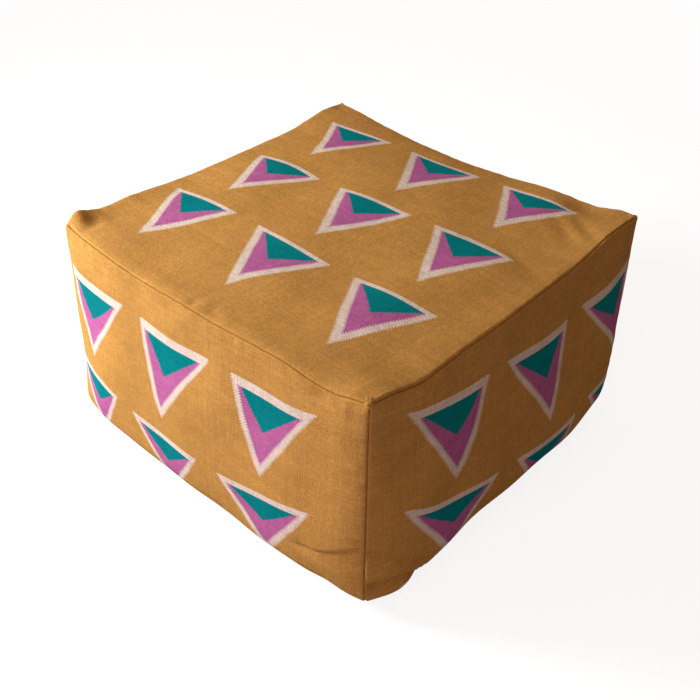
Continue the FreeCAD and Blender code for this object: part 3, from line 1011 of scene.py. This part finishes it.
OCHRE = (0.608, 0.29, 0.0755, 1)
CREAM = (0.84, 0.655, 0.575, 1)
PINK = (0.535, 0.135, 0.355, 1)
TEAL = (0.0, 0.222, 0.25, 1)
THREAD = (0.40, 0.21, 0.06, 1)
BASE_OCHRE = (0.55, 0.265, 0.073, 1)
LINER_WHITE = (0.80, 0.76, 0.68, 1)
TAPE_BROWN = (0.085, 0.05, 0.024, 1)
TEETH_BROWN = (0.07, 0.04, 0.02, 1)
BRASS = (0.46, 0.32, 0.13, 1)
TARNISH = (0.17, 0.11, 0.05, 1)


def cover_cloth(name, pink, teal):
    """Ochre flatweave with rows of stepped triangles."""
    n = Nodes(name)
    where, parts = n.place("weave")
    across, down = parts[0], parts[1]
    cloth, threads = n.place("threads")
    wobble = n.between(n.noise(where, 0.02, 1), 0.0, 1.0, -2.5, 2.5)
    fuzz = n.between(n.noise(where, 1.1, 2), 0.0, 1.0, -0.6, 0.6)
    p = n.plus(across, n.plus(wobble, fuzz))
    q = n.plus(down, n.times(fuzz, 0.35))
    in_row = n.math("LESS_THAN", n.math("ABSOLUTE", p), COLUMNS / 2 * REPEAT_X)
    in_rows = n.math("LESS_THAN", q, ROWS * REPEAT_Y)
    woven = n.times(in_row, n.math("GREATER_THAN", q, 0.0), in_rows)
    p = n.math("ABSOLUTE", n.math("WRAP", p, REPEAT_X / 2, -REPEAT_X / 2))
    q = n.math("WRAP", q, REPEAT_Y, 0.0)

    row = n.math("FLOOR", n.math("DIVIDE", q, WOVEN_STEP))
    pick = n.times(n.plus(row, 0.5), WOVEN_STEP)
    turn = n.math("SUBTRACT", n.math("MODULO", row, 2.0), 0.5)

    def triangle(base, half, tip, tooth):
        wide = n.between(pick, base, tip, half, 0.0)
        wide.node.clamp = False
        wide = n.plus(wide, n.times(turn, tooth))
        inside = n.math("LESS_THAN", p, wide)
        started = n.math("GREATER_THAN", pick, base)
        return n.times(inside, started, woven)

    base = n.mix(triangle(0.0, TRI_HALF, TRI_TALL, TOOTH), OCHRE, CREAM)
    base = n.mix(triangle(*pink, TOOTH), base, PINK)
    base = n.mix(triangle(pink[0], *teal, FINE_TOOTH), base, TEAL)
    height, yarn = plain_weave(n, threads[0], threads[1], RIB, PICK, 1.1)
    n.surface("Base Color", cloth_colour(n, base, cloth, threads, yarn, 0.1))
    height = n.plus(height, n.times(n.noise(cloth, 0.5, 3, 0.6), 1.6))
    n.bump(height, 0.6, 0.8)
    n.surface("Roughness", 0.92)
    n.surface("Specular IOR Level", 0.04)
    return n.owner


def plain_cloth(name, colour, layer, pitch, strength=0.12, depth=0.4):
    n = Nodes(name)
    where, parts = n.place(layer)
    across = parts[0] if layer else n.plus(parts[0], parts[2])
    down = parts[1] if layer else n.plus(parts[1], parts[2])
    height, yarn = plain_weave(n, across, down, *pitch, 0.2 * pitch[0])
    # Painted shade: the colour is darker in the gaps between the threads and lighter on their crowns,
    # following the weave's height.
    yarn = n.times(yarn, n.between(height, 0.0, 0.6, 0.7, 1.1))
    n.surface("Base Color", cloth_colour(n, colour, where, parts, yarn, strength))
    n.bump(height, depth, 0.7)
    n.surface("Roughness", 0.93)
    n.surface("Specular IOR Level", 0.05)
    return n.owner


def bead_material():
    n = Nodes("expanded_beads")
    where, _ = n.place()
    cells = n.new("ShaderNodeTexVoronoi")
    n.feed(cells, ("Vector", "Scale"), (where, 0.28))
    # Painted shade: each bead is lighter at its middle and darker towards its rim and the gaps between beads.
    shade = n.between(cells.outputs["Distance"], 0.0, 0.8, 0.96, 0.7)
    n.surface("Base Color", n.vector(shade, shade, n.times(shade, 0.98)))
    n.bump(n.math("SUBTRACT", 1.0, cells.outputs["Distance"]), 1.5, 0.8)
    n.surface("Roughness", 0.7)
    return n.owner


def moulded_plastic(name, colour):
    n = Nodes(name)
    where, _ = n.place()
    shade = n.between(n.noise(where, 0.8, 4, 0.6), 0.3, 0.7, 0.82, 1.15)
    n.surface("Base Color", n.shaded(colour, shade))
    n.surface("Roughness", n.between(n.noise(where, 1.6, 3), 0.3, 0.7, 0.36, 0.55))
    n.bump(n.noise(where, 2.5, 3), 0.05, 0.5)
    return n.owner


def old_brass():
    n = Nodes("old_brass")
    where, parts = n.place()
    tarnish = n.between(n.noise(where, 0.35, 5, 0.65), 0.42, 0.66)
    n.surface("Base Color", n.mix(tarnish, BRASS, TARNISH))
    drawn = n.vector(n.times(parts[0], 0.3), n.times(parts[1], 6.0), parts[2])
    brushed = n.noise(drawn, 1.0, 3)
    n.surface("Roughness", n.between(brushed, 0.25, 0.75, 0.24, 0.5))
    n.bump(brushed, 0.03, 0.5)
    n.surface("Metallic", 1.0)
    return n.owner


def twisted_thread():
    n = Nodes("twisted_thread")
    _, parts = n.place()
    slant = n.plus(n.plus(parts[0], parts[1]), parts[2])
    twist = n.math("SINE", n.times(slant, 7.0))
    # Painted shade: the thread is darker in the grooves of its twist and lighter on its ridges, following its
    # bump.
    n.surface("Base Color", n.shaded(THREAD, n.between(twist, -1.0, 1.0, 0.7, 1.1)))
    n.bump(twist, 0.12, 0.8)
    n.surface("Roughness", 0.8)
    n.surface("Specular IOR Level", 0.2)
    return n.owner


def paint(piece, material):
    piece.data.materials.clear()
    piece.data.materials.append(material)


def dress(piece, material, node):
    """Give a piece its material and body, and hide the node that it stands for."""
    paint(piece, material)
    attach(piece, "pouf")
    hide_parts(node)
    return piece


side_weave = cover_cloth("side_flatweave", SIDE_PINK, SIDE_TEAL)
top_weave = cover_cloth("top_flatweave", TOP_PINK, TOP_TEAL)
base_weave = plain_cloth("base_flatweave", BASE_OCHRE, "threads", (RIB, PICK))
liner_weave = plain_cloth("liner_cotton", LINER_WHITE, None, LINER_PITCH, strength=0.06, depth=0.15)
tape_weave = plain_cloth("zip_tape_weave", TAPE_BROWN, "threads", TAPE_PITCH, strength=0.2, depth=0.15)
thread = twisted_thread()
teeth_plastic = moulded_plastic("zip_teeth_plastic", TEETH_BROWN)
brass = old_brass()

sides = {}
PATTERNS = {"front": "front", "right": "right", "back": "front", "left": "right"}
for quarter, (name, pattern) in enumerate(PATTERNS.items()):
    sides[name] = side_panel(name, quarter, pattern)
    dress(sides[name], side_weave, name + "_panel")
top = dress(top_panel("top_cover"), top_weave, "top_panel")
base_front = dress(base_half("base_cover_front", False), base_weave, "base_panel_front")
base_back = dress(base_half("base_cover_back", True), base_weave, "base_panel_back")

fill, liners = inner_bag()
dress(fill, bead_material(), "bead_fill")
for node, piece in liners.items():
    dress(piece, liner_weave, node)

for seam, lines in seam_lines.items():
    row = stitches(seam + "_seam_stitches", lines, STITCH_RADIUS, SEAM_END)
    dress(row, thread, seam + "_seam_thread")
zip_lines = []
zip_end = SLOT_END - ZIP_STITCH_END
for y in (-STITCH_Y, STITCH_Y):
    for z in (ZIP_STITCH_LOW, TAPE_HIGH + ZIP_STITCH_OVER):
        zip_lines.append(np.array([[x, y, z] for x in (-zip_end, zip_end)]))
row = stitches("zip_seam_stitches", zip_lines, ZIP_STITCH_RADIUS)
dress(row, thread, "zip_seam_thread")

tapes = {}
for side, name in ((-1, "front"), (1, "back")):
    tapes[name] = zip_tape("zip_tape_cloth_" + name, side)
    dress(tapes[name], tape_weave, "zip_tape_" + name)
for node in ("zip_teeth_front", "zip_teeth_back", "zip_bottom_stop", "zip_top_stops"):
    paint(nodes[node], teeth_plastic)
for node in ("zip_slider", "zip_pull"):
    paint(nodes[node], brass)

# The floor is a ring, in metres, with a window under the zip.
FLOOR_HALF = 6
FLOOR_Z = -0.0002
WINDOW_X, WINDOW_Y = 0.226, 0.16
ROUND = ((-1, -1), (1, -1), (1, 1), (-1, 1))

# The distances from the pouf between which the floor turns to plain white, in metres.
SHADE_NEAR, SHADE_FAR = 0.8, 2.6


def straight_rays(n):
    """Whether a ray comes from the camera, by way of shine or glass too."""
    ray = n.new("ShaderNodeLightPath").outputs
    either = n.math("MAXIMUM", ray["Is Camera Ray"], ray["Is Glossy Ray"])
    return n.math("MAXIMUM", either, ray["Is Transmission Ray"])


def choice(n, share, a, b):
    node = n.new("ShaderNodeMixShader")
    n.feed(node, range(3), (share, a, b))
    return node.outputs[0]


def pale_floor():
    """A floor that takes the pouf's shadow and looks nearly white."""
    n = Nodes("pale_floor")
    distance = n.new("ShaderNodeVectorMath", operation="LENGTH")
    n.put(distance.inputs[0], n.new("ShaderNodeNewGeometry").outputs["Position"])
    away = distance.outputs["Value"]
    glow = n.new("ShaderNodeEmission")
    n.put(glow.inputs["Strength"], n.between(away, SHADE_NEAR, SHADE_FAR, 0.84, 1.0))
    tint = n.new("ShaderNodeBsdfDiffuse")
    grey = n.between(away, SHADE_NEAR, SHADE_FAR, 0.38, 0.0)
    n.put(tint.inputs["Color"], n.vector(grey, grey, grey))
    both = n.new("ShaderNodeAddShader")
    n.feed(both, range(2), (glow.outputs[0], tint.outputs[0]))
    surface = choice(n, straight_rays(n), tint.outputs[0], both.outputs[0])
    n.put(n.tree.nodes["Material Output"].inputs["Surface"], surface)
    return n.owner


def studio():
    """Soft warm light from all round, which itself looks white."""
    n = Nodes("studio", "worlds", "Background")
    n.surface("Color", (1.0, 0.8, 0.6, 1))
    n.surface("Strength", 0.28)
    white = n.new("ShaderNodeBackground")
    n.feed(white, ("Color", "Strength"), ((1, 1, 1, 1), 1.0))
    surface = choice(n, straight_rays(n), n.shader.outputs[0], white.outputs[0])
    n.put(n.tree.nodes["World Output"].inputs["Surface"], surface)
    return n.owner


def area_light(name, place, target, size, power, colour=(1, 1, 1)):
    lamp = bpy.data.lights.new(name, "AREA")
    lamp.size = size
    lamp.energy = power
    lamp.color = colour
    holder = linked(name, lamp)
    holder.location = place
    holder.visible_camera = False
    holder.rotation_euler = (Vector(target) - Vector(place)).to_track_quat("-Z", "Y").to_euler()


outer = [(FLOOR_HALF * x, FLOOR_HALF * y) for x, y in ROUND]
window = [(WINDOW_X * x, WINDOW_Y * y) for x, y in ROUND]
ring = bpy.data.meshes.new("floor")
ring.from_pydata(
    [(x, y, FLOOR_Z) for x, y in outer + window],
    [],
    [(k, (k + 1) % 4, 4 + (k + 1) % 4, 4 + k) for k in range(4)],
)
floor = linked("floor", ring)
floor.data.materials.append(pale_floor())
bpy.context.scene.world = studio()
# Lamps: place, target and size in metres, power in watts, and colour.
area_light("key", (-0.85, -0.75, 0.72), (0, 0, 0.15), 0.5, 23.3, (0.92, 0.975, 0.965))
area_light("fill", (0.55, -0.95, 0.35), (0.2, -0.2, 0.15), 0.5, 1.18, (1.0, 0.77, 0.92))
area_light("base", (0, -0.2, -1.2), (0, 0, 0), 1.0, 14.0)

lens = bpy.data.cameras.new("camera")
lens.sensor_width = 36.0
lens.lens = FOCAL / PICTURE * lens.sensor_width
camera = linked("camera", lens)
camera.matrix_world = Matrix.LocRotScale(EYE * MM, Matrix(AXES.T).to_quaternion(), None)
bpy.context.scene.camera = camera
bpy.context.scene.view_settings.view_transform = "Standard"

bpy.context.view_layer.update()
